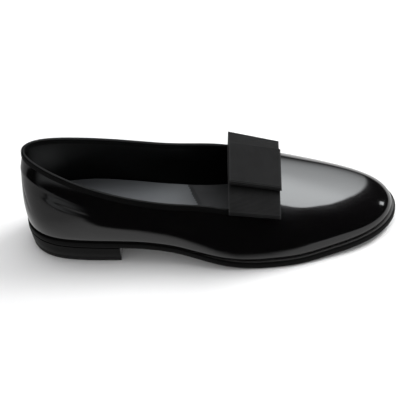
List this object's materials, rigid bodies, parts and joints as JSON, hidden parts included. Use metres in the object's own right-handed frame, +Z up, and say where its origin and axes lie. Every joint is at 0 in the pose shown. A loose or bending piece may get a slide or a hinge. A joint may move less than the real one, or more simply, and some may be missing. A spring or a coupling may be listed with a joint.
{
  "type": "opera pump",
  "caption": "Right-foot opera pump: low-cut patent leather upper with a ribbon-bound collar, a flat ribbon bow on the vamp, a thin leather sole and a low block heel.",
  "frame": {"origin": "middle of the shoe's footprint box, on the floor it stands on", "axes": "+X runs to the toe, +Y to the inner side of the foot, +Z up"},
  "size_m": [0.2962, 0.1036, 0.0874],
  "materials": {
    "black_patent_leather": "patent, mirror gloss",
    "black_sole_leather": "stained and burnished",
    "black_heel_leather": "stained and waxed",
    "black_rubber": "matt",
    "black_sock_leather": "smooth, half gloss",
    "black_grosgrain": "fine ribbed, matt"
  },
  "bodies": {
    "root": {"outsole": "black_sole_leather", "heel_block": "black_heel_leather", "heel_top_piece": "black_rubber", "insole": "black_sock_leather", "upper": "black_patent_leather", "topline_binding": "black_grosgrain", "bow_lower_loop": "black_grosgrain", "bow_upper_loop": "black_grosgrain"}
  },
  "joints": []
}
